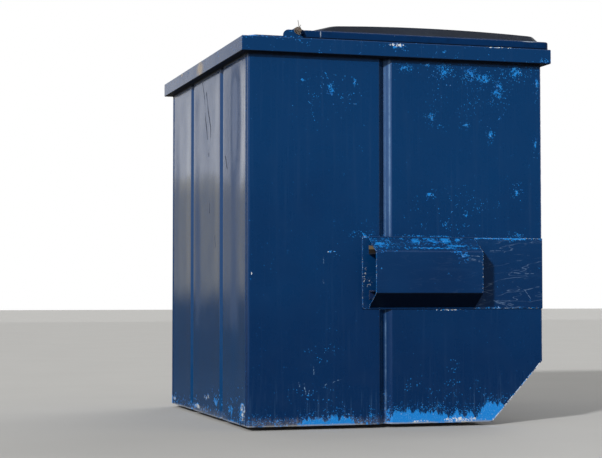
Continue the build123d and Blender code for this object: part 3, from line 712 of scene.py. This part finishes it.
PLATE_CHIPS = [
    (0.172, 0.971, 0.036, 0.006),
    (0.080, 0.970, 0.030, 0.003),
    (-0.030, 0.970, 0.060, 0.004),
    (-0.500, 0.968, 0.100, 0.003),
    (-0.640, 0.967, 0.070, 0.005),
    (-0.240, 0.606, 0.100, 0.005),
    (0.050, 0.606, 0.040, 0.003),
    (-0.560, 0.606, 0.060, 0.003),
]
PLATE_GREYS = [
    (0.186, 0.770, 0.012, 0.060),
    (0.160, 0.740, 0.020, 0.030),
    (-0.260, 0.607, 0.100, 0.006),
]
PLATE_STROKES = [
    (-0.524, 0.644, -0.631, 0.623),
    (-0.540, 0.634, -0.625, 0.616),
    (-0.638, 0.790, -0.752, 0.784),
    (-0.655, 0.717, -0.700, 0.701),
    (-0.700, 0.701, -0.780, 0.717),
    (-0.700, 0.701, -0.735, 0.655),
    (-0.503, 0.903, -0.560, 0.905),
]
HOOD_CHIPS = [
    (0.117, 0.932, 0.036, 0.015),
    (-0.080, 0.955, 0.026, 0.016),
    (-0.120, 0.964, 0.050, 0.006),
    (-0.172, 0.955, 0.024, 0.015),
    (-0.245, 0.956, 0.030, 0.017),
    (-0.315, 0.960, 0.018, 0.010),
    (-0.200, 0.966, 0.160, 0.004),
    (-0.170, 0.912, 0.170, 0.0025),
    (-0.290, 0.925, 0.040, 0.004),
    (-0.302, 0.877, 0.017, 0.014),
    (-0.285, 0.893, 0.020, 0.004),
]
HOOD_GREYS = [(-0.385, 0.780, 0.012, 0.020), (-0.262, 0.812, 0.010, 0.004)]
HOOD_STROKES = [
    (-0.304, 0.874, -0.392, 0.871),
    (-0.325, 0.862, -0.405, 0.850),
    (-0.300, 0.880, -0.300, 0.856),
    (-0.350, 0.852, -0.412, 0.843),
]
TUBE_SCRAPES = around(-TUBE_SIDE, [(0.022, 1.95, 0.05, 0.009), (-0.56, 1.9625, 0.12, 0.003)], TUBE_SPOT_DEPTH)
SEEN_TUBE_CHIPS = [
    (0.022, 1.940, 0.040, 0.012),
    (0.780, 1.966, 0.080, 0.006),
    (0.600, 1.966, 0.060, 0.004),
    (-0.800, 1.902, 0.030, 0.012),
    (-0.386, 1.962, 0.020, 0.003),
    (-0.520, 1.962, 0.090, 0.002),
    (-0.240, 1.925, 0.012, 0.012),
    (0.535, 1.950, 0.020, 0.006),
]
HIDDEN_TUBE_CHIPS = [(0.4, 1.94, 0.04, 0.014), (-0.55, 1.915, 0.05, 0.012)]
TUBE_CHIPS = [
    *around(-TUBE_SIDE, SEEN_TUBE_CHIPS, TUBE_SPOT_DEPTH),
    ((-0.9, 0.7, 1.97), (0.06, 0.03, 0.005)),
    *around(TUBE_SIDE, HIDDEN_TUBE_CHIPS, TUBE_SPOT_DEPTH),
    ((-0.4, -TUBE_END, 1.95), (0.06, 0.05, 0.012)),
    ((0.35, -TUBE_END, 1.93), (0.08, 0.05, 0.014)),
    ((0.1, 0.7, 1.97), (0.1, 0.04, 0.01)),
]
TUBE_TANS = [
    ((-0.02, TUBE_END, 1.922), (0.11, 0.04, 0.06)),
    ((0.45, TUBE_END, 1.95), (0.04, 0.04, 0.01)),
]
LID_SCRATCHES = around(-LID_SIDE, [(0.425, 1.99, 0.004, 0.026), (-0.72, 2.004, 0.06, 0.004)], depth=0.02)

# How the sheets are divided and knocked about
STATION_STEP = 0.020  # along a sheet
ARC_STEPS = 6  # in each bend
SHEET_ROWS = 92
BEND_EASE = 0.16  # how far from a bend a sheet is knocked about freely
FOOT_EASE = 0.14  # how far from its foot or its head
PLATE_EASE = 0.12  # and how far from where a wear plate or the flat bay ends
STIFF_FOOT = 0.09  # height up to which the floor holds the sheets flat
FLAT_BAY = 0.195  # width beside a rear groove that stays nearly flat
FLAT_BAY_SHARE = 0.15  # of its knocks
LONG_WAVES = 2.6  # a metre
SHORT_WAVES = 6.1


def folded_line(corners, bends):
    """Stations along a folded sheet's outer face, seen from above and with the outside on the left.

    A station has its place, its outward normal, and its distance from the nearest bend or end."""
    corners = [Vector(corner) for corner in corners]
    runs = [(after - before).normalized() for before, after in zip(corners, corners[1:])]
    turns = [before.angle_signed(after) * -1 for before, after in zip(runs, runs[1:])]
    trims = [0.0, *[bend * math.tan(abs(turn) / 2) for bend, turn in zip(bends, turns)], 0.0]
    stations = []
    for number, run in enumerate(runs):
        start = corners[number] + run * trims[number]
        end = corners[number + 1] - run * trims[number + 1]
        outward = Vector((-run.y, run.x))
        length = (end - start).length
        pieces = max(1, math.ceil(length / STATION_STEP))
        for piece in range(pieces + 1):
            along = length * piece / pieces
            stations.append((start + run * along, outward, min(along, length - along)))
        if number < len(turns):
            turn, bend = turns[number], bends[number]
            centre = end + outward * math.copysign(bend, turn)
            for arc in range(1, ARC_STEPS):
                angle = turn * arc / ARC_STEPS
                normal = Vector((
                    outward.x * math.cos(angle) - outward.y * math.sin(angle),
                    outward.x * math.sin(angle) + outward.y * math.cos(angle),
                ))
                stations.append((centre - normal * math.copysign(bend, turn), normal, 0.0))
    return stations


def ease(value):
    """0 below 0, 1 above 1, and smooth between."""
    value = min(max(value, 0.0), 1.0)
    return value * value * (3 - 2 * value)


def knocks(place, dish, waves, blows):
    """How far a sheet is pushed in at a place: its dish, its waves and the blows that it has had."""
    depth = dish + waves * (0.5 + noise.noise(place * LONG_WAVES) + 0.5 * noise.noise(place * SHORT_WAVES))
    for centre, reach, blow in blows:
        depth += blow * ease(1.0 - (place - Vector(centre)).length / reach)
    return max(depth, 0.0)


def new_object(name, data):
    made = bpy.data.objects.new(name, data)
    bpy.context.scene.collection.objects.link(made)
    return made


def piece_from(name, mesh, angle):
    """Puts a finished mesh on the container, shaded smooth but for edges over the angle."""
    mesh.normal_update()
    data = bpy.data.meshes.new(name)
    mesh.to_mesh(data)
    mesh.free()
    data.shade_smooth()
    data.set_sharp_from_angle(angle=math.radians(angle))
    piece = new_object(name, data)
    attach(piece, "container")
    return piece


def standing_sheet(name, node, stations, side, foot, calm, finishes, dish, waves, blows):
    """A folded sheet with its true thickness, knocked about, in place of the node's plain sheet.

    Its side is 1, or -1 for a mirrored one. Its foot is a height at each y, and calm says how freely it
    is knocked about at a place."""
    mesh = bmesh.new()
    skins = []
    for inset in (0.0, SHEET):
        grid = []
        for (x, y), normal, room in stations:
            low = foot(y)
            column = []
            for row in range(SHEET_ROWS + 1):
                z = low + (RIM_FOOT - low) * row / SHEET_ROWS
                place = Vector((x * side, y, z))
                over_foot = z - max(low, STIFF_FOOT)
                under_rim = RIM_FOOT - z
                free = ease(room / BEND_EASE) * ease(over_foot / FOOT_EASE) * ease(under_rim / FOOT_EASE)
                depth = knocks(place, dish, waves, blows) * free * calm(place) if free else 0.0
                shift = normal * (depth + inset)
                column.append(mesh.verts.new(((x - shift.x) * side, y - shift.y, z)))
            grid.append(column)
        skins.append(grid)
    outer, inner = skins
    for skin, grid in enumerate(skins):
        for left, right in zip(grid, grid[1:]):
            for row in range(SHEET_ROWS):
                face = mesh.faces.new((left[row], left[row + 1], right[row + 1], right[row]))
                face.material_index = skin
    for row in range(SHEET_ROWS):
        for front, back in ((outer[0], inner[0]), (outer[-1], inner[-1])):
            mesh.faces.new((front[row], back[row], back[row + 1], front[row + 1]))
    for front, front_after, back, back_after in zip(outer, outer[1:], inner, inner[1:]):
        for row in (0, SHEET_ROWS):
            mesh.faces.new((front[row], front_after[row], back_after[row], back[row]))
    bmesh.ops.recalc_face_normals(mesh, faces=mesh.faces)
    piece = piece_from(name, mesh, angle=35.0)
    for finish in finishes:
        piece.data.materials.append(finish)
    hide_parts(node)


def groove_corners(centres, wall, inward):
    """Corners of V grooves along a wall, pressed in by their depth."""
    corners = []
    for centre in centres:
        corners += [
            (centre - GROOVE_HALF, wall),
            (centre, wall + inward * GROOVE_DEPTH),
            (centre + GROOVE_HALF, wall),
        ]
    return corners


def sloping_foot(y):
    """Height of a side sheet's foot, which rises along the cut-away."""
    return SHEET_FOOT + max(0.0, SLOPE_FOOT - y) * SLOPE_RISE / SLOPE_RUN


def off_the_plate(place):
    """0 behind a wear plate and its welds, and 1 clear of it."""
    y_gap = place.y - PLATE_REAR
    z_gap = max(PLATE_FOOT - place.z, place.z - PLATE_HEAD)
    return ease(max(y_gap, z_gap) / PLATE_EASE)


def flat_by_the_groove(place):
    """How freely the rear sheet is knocked about: little beside its groove in the bay by the seen corner."""
    if place.x > -END_GROOVE:
        return 1.0
    outer_bay = ease((-END_GROOVE - FLAT_BAY - place.x) / PLATE_EASE)
    return FLAT_BAY_SHARE + (1 - FLAT_BAY_SHARE) * outer_bay


# Weld beads
BEAD_RADIUS = 0.0032
BEAD_RIPPLE = 0.008  # from ripple to ripple
BEAD_SIDES = 7
BEAD_WANDER = 45.0  # uneven places a metre
ASKEW = Vector((0.36, 0.48, 0.8))  # along no bead


def weld_beads(name, paths):
    """Rippled weld beads, one along each path of points."""
    mesh = bmesh.new()
    for number, path in enumerate(paths):
        points = [Vector(point) for point in path]
        places = []
        for start, end in zip(points, points[1:]):
            stretch = end - start
            pieces = max(2, round(stretch.length / (BEAD_RIPPLE / 2)))
            places += [(start.lerp(end, piece / pieces), stretch.normalized()) for piece in range(pieces)]
        places.append((points[-1], (points[-1] - points[-2]).normalized()))
        rings = []
        for count, (place, run) in enumerate(places):
            across_bead = run.cross(ASKEW).normalized()
            up_bead = run.cross(across_bead)
            wander = noise.noise(place * BEAD_WANDER + Vector((number, 0, 0)))
            size = BEAD_RADIUS * (0.88 + 0.16 * (count % 2) + 0.22 * wander)
            if count in (0, len(places) - 1):
                size *= 0.5
            angles = [math.tau * spoke / BEAD_SIDES for spoke in range(BEAD_SIDES)]
            spokes = [across_bead * math.cos(angle) + up_bead * math.sin(angle) for angle in angles]
            rings.append([mesh.verts.new(place + size * spoke) for spoke in spokes])
        for ring, after in zip(rings, rings[1:]):
            for spoke in range(BEAD_SIDES):
                beside = (spoke + 1) % BEAD_SIDES
                mesh.faces.new((ring[spoke], ring[beside], after[beside], after[spoke]))
        mesh.faces.new(rings[0])
        mesh.faces.new(list(reversed(rings[-1])))
    bmesh.ops.recalc_face_normals(mesh, faces=mesh.faces)
    return piece_from(name, mesh, angle=80.0)


# Camera, fitted to the photograph's straight edges
CAMERA_PLACE = (-8.437, 2.748, 0.677)
CAMERA_HEADING = (0.9588, -0.2840)
CAMERA_PITCH = 0.0418  # radians up
CAMERA_LENS = 93.59  # millimetres, on a sensor 36 wide

camera_data = bpy.data.cameras.new("camera")
camera_data.sensor_fit = "HORIZONTAL"
camera_data.sensor_width = 36.0
camera_data.lens = CAMERA_LENS
camera_data.clip_end = 300.0
camera = new_object("camera", camera_data)
level = math.cos(CAMERA_PITCH)
looking = Vector((CAMERA_HEADING[0] * level, CAMERA_HEADING[1] * level, math.sin(CAMERA_PITCH)))
camera.location = CAMERA_PLACE
camera.rotation_mode = "QUATERNION"
camera.rotation_quaternion = looking.to_track_quat("-Z", "Y")
bpy.context.scene.camera = camera
bpy.context.scene.view_settings.view_transform = "Standard"


def lamp(name, place, energy, angle):
    """A sun lamp, turned to shine from its place towards the origin."""
    data = bpy.data.lights.new(name, "SUN")
    data.energy = energy
    data.angle = angle
    light = new_object(name, data)
    light.location = place
    light.rotation_mode = "QUATERNION"
    light.rotation_quaternion = (-Vector(place)).to_track_quat("-Z", "Y")


# Studio light from over the camera's left shoulder, and a weak wide fill from the far side
lamp("key", (-6.6, 6.3, 4.0), 2.9, 0.07)
lamp("fill", (6.0, -6.5, 4.5), 0.9, 0.9)

# The background is white to the camera and in reflections, and lights the rest more weakly
SKY_LIGHT = 0.42

world = bpy.data.worlds.new("studio")
bpy.context.scene.world = world
sky = Board(world)
seen = None
for ray in ("Is Camera Ray", "Is Glossy Ray", "Is Transmission Ray"):
    wire = sky.node("ShaderNodeLightPath", output=ray)
    seen = wire if seen is None else seen | wire
background = sky.tree.nodes["Background"]
background.inputs["Color"].default_value = (1.0, 1.0, 1.0, 1.0)
sky.join(SKY_LIGHT + seen * (1 - SKY_LIGHT), background.inputs["Strength"])


def flat_square(name, squares, reach):
    """A flat square that is twice its reach wide, cut into smaller squares."""
    mesh = bmesh.new()
    bmesh.ops.create_grid(mesh, x_segments=squares, y_segments=squares, size=reach)
    data = bpy.data.meshes.new(name)
    mesh.to_mesh(data)
    mesh.free()
    return new_object(name, data)


floor = flat_square("studio_floor", 8, 60.0)
floor.visible_glossy = False
paint = Finish("floor_paint", Roughness=0.9, Specular_IOR_Level=0.1)
pale_grey = paint.mix(paint.mottle(1.5, 4.0), colour(190, 189, 186), colour(197, 196, 193))
floor.data.materials.append(paint.dress(Base_Color=pale_grey))

CARD_STEPS = [(-0.17, -0.02), (0.40, 0.48)]  # where tones change, in card heights from its middle
WARM_WHITE = (1.0, 0.93, 0.71, 1.0)


def studio_card(name, centre, width, height, turn, tones, tilt=90.0, tint=(1.0, 1.0, 1.0, 1.0)):
    """A card that only reflections see. It glows with its first tone, and adds one more at each step up."""
    card = flat_square(name, 1, 0.5)
    card.scale = (width, height, 1.0)
    card.rotation_euler = (math.radians(tilt), 0.0, math.radians(turn))
    card.location = centre
    board = Board(bpy.data.materials.new(name))
    board.tree.nodes.remove(board.tree.nodes["Principled BSDF"])
    across_card = board.node("ShaderNodeTexCoord", output="Object")
    level = board.node("ShaderNodeSeparateXYZ", sockets=[across_card], output="Y")
    glow = tones[0]
    for tone, (start, end) in zip(tones[1:], CARD_STEPS):
        glow = glow + board.ramp(level, start, end) * tone
    glow = board.node("ShaderNodeEmission", {}, {"Strength": glow, "Color": tint})
    board.join(glow, board.tree.nodes["Material Output"].inputs["Surface"])
    card.data.materials.append(board.owner)
    card.visible_camera = card.visible_diffuse = card.visible_shadow = card.visible_transmission = False


# A dim card behind the camera, a wide and a narrow one past the rear right corner, which the rear sheet
# mirrors, and one on the floor
studio_card("dim_wall", (-12.0, -2.0, 4.5), 26.0, 9.0, 90.0, (0.10, 0.02, 0.05))
studio_card("mirrored_card", (5.2, 2.7, 0.85), 7.0, 1.7, 78.0, (0.08, 0.37, 0.2), tint=WARM_WHITE)
studio_card("mirrored_post", (5.1, 2.70, 2.2), 0.9, 3.6, 78.0, (0.30, 0.05, 0.05))
studio_card("mirrored_ground", (0.0, 0.0, 0.001), 60.0, 60.0, 0.0, (0.09, 0.0, 0.0), tilt=0.0)

# Finishes
side_grooves = [("y", SIDE_GROOVE)]
end_grooves = [("x", END_GROOVE), ("x", -END_GROOVE)]
seen_side = enamel(
    "enamel_seen_side", around(-SIDE, SEEN_SIDE_CHIPS), around(-SIDE, SEEN_SIDE_SPECKS),
    around(-SIDE, SEEN_SIDE_SCRAPES), drawn(-SIDE, SEEN_SIDE_STROKES), band=SEEN_SIDE_BAND,
    grooves=side_grooves, slope=True, rim_shade=0.85, shine=0.24,
)
hidden_side = enamel(
    "enamel_hidden_side", around(SIDE, HIDDEN_SIDE_CHIPS), scraped=around(SIDE, HIDDEN_SIDE_SCRAPES),
    band=HIDDEN_SIDE_BAND, grooves=side_grooves, slope=True, rim_shade=0.85, rare=0.05, shine=0.24,
)
rear_enamel = enamel(
    "enamel_rear", across(END, REAR_CHIPS), scraped=across(END, REAR_SCRAPES), stained=REAR_STAINS,
    band=REAR_BAND, along="x", grooves=end_grooves, lit=0.12, rim_shade=0.8, gloss=0.15, rare=0.004, shine=0.35,
    grain=3.0, deep=colour(2, 56, 100),
)
front_enamel = enamel(
    "enamel_front", across(-END, FRONT_CHIPS), scraped=across(-END, FRONT_SCRAPES),
    grooves=end_grooves, lit=0.3, rim_shade=0.85, rare=0.05,
)
tube_enamel = enamel(
    "enamel_tube", TUBE_CHIPS, scraped=TUBE_SCRAPES, tanned=TUBE_TANS,
    rim_shade=0.92, rub=0.35, rare=0.05, gloss=0.24,
)
plate_enamel = rubbed(
    "enamel_plate", both_sides(around, PLATE_FACE, PLATE_CHIPS), both_sides(around, PLATE_FACE, PLATE_GREYS),
    both_sides(drawn, PLATE_FACE, PLATE_STROKES),
)
hood_enamel = rubbed(
    "enamel_hood", both_sides(around, HOOD_MIDDLE, HOOD_CHIPS), both_sides(around, HOOD_MIDDLE, HOOD_GREYS),
    both_sides(drawn, HOOD_FACE, HOOD_STROKES),
)
upper_rail_steel = worn_steel(
    "upper_rail_steel", 0.80, 0.1, colour(112, 98, 76), TAN, 0.4, dark_under=POCKET_SHADE
)
lower_rail_steel = worn_steel("lower_rail_steel", 0.80, 0.1, colour(6, 34, 74), TAN, 0.9)
under_steel = worn_steel("under_steel", 0.75, 0.35, colour(30, 32, 36))
hinge_steel = worn_steel("hinge_steel", 0.25, 0.25, colour(118, 112, 102), colour(112, 98, 84), 0.6)
grime = inside_grime("inside_grime")
plastic = lid_plastic("lid_plastic", LID_SCRATCHES)
bead_enamel = enamel("enamel_beads", rim_shade=0.9, rare=0.02, gloss=0.36)

node_finishes = [
    (seen_side, ("side_panel",)),
    (rear_enamel, ("rear_panel",)),
    (front_enamel, ("front_panel", "front_slope")),
    (tube_enamel, ("rim_rail", "rear_cover", "groove_caps", "hinge_crossbar", "hinge_lug", "lug_between")),
    (plate_enamel, ("wear_plate",)),
    (hood_enamel, ("pocket_hood",)),
    (upper_rail_steel, ("pocket_upper",)),
    (lower_rail_steel, ("pocket_lower",)),
    (hinge_steel, ("hinge_rod", "hinge_washers", "hinge_nuts", "split_pin")),
    (under_steel, ("skid", "cross_channels")),
    (grime, ("floor_plate",)),
    (plastic, ("lid",)),
]
for node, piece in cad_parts.items():
    finish = next(finish for finish, starts in node_finishes if node.startswith(starts))
    if not piece.data.materials:
        piece.data.materials.append(finish)
    for number in range(len(piece.data.materials)):
        piece.data.materials[number] = finish

# Body sheets. A blow has its middle, its reach and its depth
SEEN_SIDE_BLOWS = [((-SIDE, 0.42, 0.62), 0.34, 0.002), ((-SIDE, -0.36, 1.42), 0.40, 0.002)]
HIDDEN_SIDE_BLOWS = [((SIDE, 0.50, 1.10), 0.22, 0.008), ((SIDE, -0.30, 1.30), 0.30, 0.006)]
REAR_BLOWS = [((0.0, END, 0.9), 0.6, 0.004), ((0.62, END, 1.3), 0.5, 0.003), ((-0.83, END, 1.6), 0.48, 0.011)]
FRONT_BLOWS = [
    ((0.55, -END, 1.2), 0.26, 0.009), ((-0.08, -END, 0.95), 0.3, 0.008), ((-0.66, -END, 1.5), 0.2, 0.006),
]

side_line = folded_line(
    [
        (-SIDE, -END),
        *[(wall, along) for along, wall in groove_corners([SIDE_GROOVE], -SIDE, 1)],
        (-SIDE, END),
        (-SIDE + CORNER_FLANGE, END),
    ],
    [*GROOVE_BENDS, CORNER_BEND],
)
standing_sheet(
    "side_sheet_left", "side_panel_left", side_line, 1, sloping_foot, off_the_plate,
    [seen_side, grime], dish=0.0012, waves=0.0018, blows=SEEN_SIDE_BLOWS,
)
standing_sheet(
    "side_sheet_right", "side_panel_right", side_line, -1, sloping_foot, off_the_plate,
    [hidden_side, grime], dish=0.002, waves=0.0030, blows=HIDDEN_SIDE_BLOWS,
)
rear_line = folded_line(
    [
        (-SIDE + CORNER_FLANGE, END),
        *groove_corners([-END_GROOVE, END_GROOVE], END, -1),
        (SIDE - CORNER_FLANGE, END),
    ],
    GROOVE_BENDS * 2,
)
standing_sheet(
    "rear_sheet", "rear_panel", rear_line, 1, lambda y: SHEET_FOOT, flat_by_the_groove,
    [rear_enamel, grime], dish=0.002, waves=0.0022, blows=REAR_BLOWS,
)
front_line = folded_line(
    [
        (SIDE - SHEET, -END),
        *reversed(groove_corners([-END_GROOVE, END_GROOVE], -END, 1)),
        (-SIDE + SHEET, -END),
    ],
    GROOVE_BENDS * 2,
)
standing_sheet(
    "front_sheet", "front_panel", front_line, 1, lambda y: SLOPE_HEAD, lambda place: 1.0,
    [front_enamel, grime], dish=0.002, waves=0.0030, blows=FRONT_BLOWS,
)

# Where the beads run
BEAD_OFF = 0.001  # how far a bead's middle is off the faces that it joins
BEAD_GAP = 0.004  # left free at a bead's end
RIM_GAP = 0.006  # and below the rim

side_x = SIDE + BEAD_OFF
end_y = END + BEAD_OFF
plate_x = SIDE + 2 * BEAD_OFF
hood_x = PLATE_FACE + BEAD_OFF
corner_x, corner_y = SIDE - BEAD_OFF, -END + BEAD_OFF
bead_paths = {
    "weld_rim": [
        *[[(way * side_x, -END, RIM_FOOT), (way * side_x, END, RIM_FOOT)] for way in (-1, 1)],
        *[[(-SIDE, way * end_y, RIM_FOOT), (SIDE, way * end_y, RIM_FOOT)] for way in (1, -1)],
    ],
    "weld_rear_corners": [
        [(x, END, SHEET_FOOT + BEAD_GAP), (x, END, RIM_FOOT - RIM_GAP)]
        for x in (-SIDE + CORNER_FLANGE, SIDE - CORNER_FLANGE)
    ],
    "weld_front_corners": [
        [(way * corner_x, corner_y, low), (way * corner_x, corner_y, high)]
        for way in (-1, 1)
        for low, high in ((SLOPE_HEAD, PLATE_FOOT - BEAD_GAP), (PLATE_HEAD + BEAD_GAP, RIM_FOOT - RIM_GAP))
    ],
    "weld_plates": [
        *[
            [(way * plate_x, -END - BEAD_GAP, z), (way * plate_x, PLATE_REAR, z)]
            for way in (-1, 1)
            for z in (PLATE_FOOT, PLATE_HEAD)
        ],
        *[
            [(way * plate_x, PLATE_REAR, PLATE_FOOT), (way * plate_x, PLATE_REAR, PLATE_HEAD)]
            for way in (-1, 1)
        ],
    ],
    "weld_hoods": [
        [(way * hood_x, HOOD_FRONT, z), (way * hood_x, HOOD_REAR, z)]
        for way in (-1, 1)
        for z in (HOOD_FOOT - BEAD_OFF, HOOD_HEAD + BEAD_OFF)
    ],
}
for name, paths in bead_paths.items():
    beads = weld_beads(name, paths)
    beads.data.materials.append(bead_enamel)
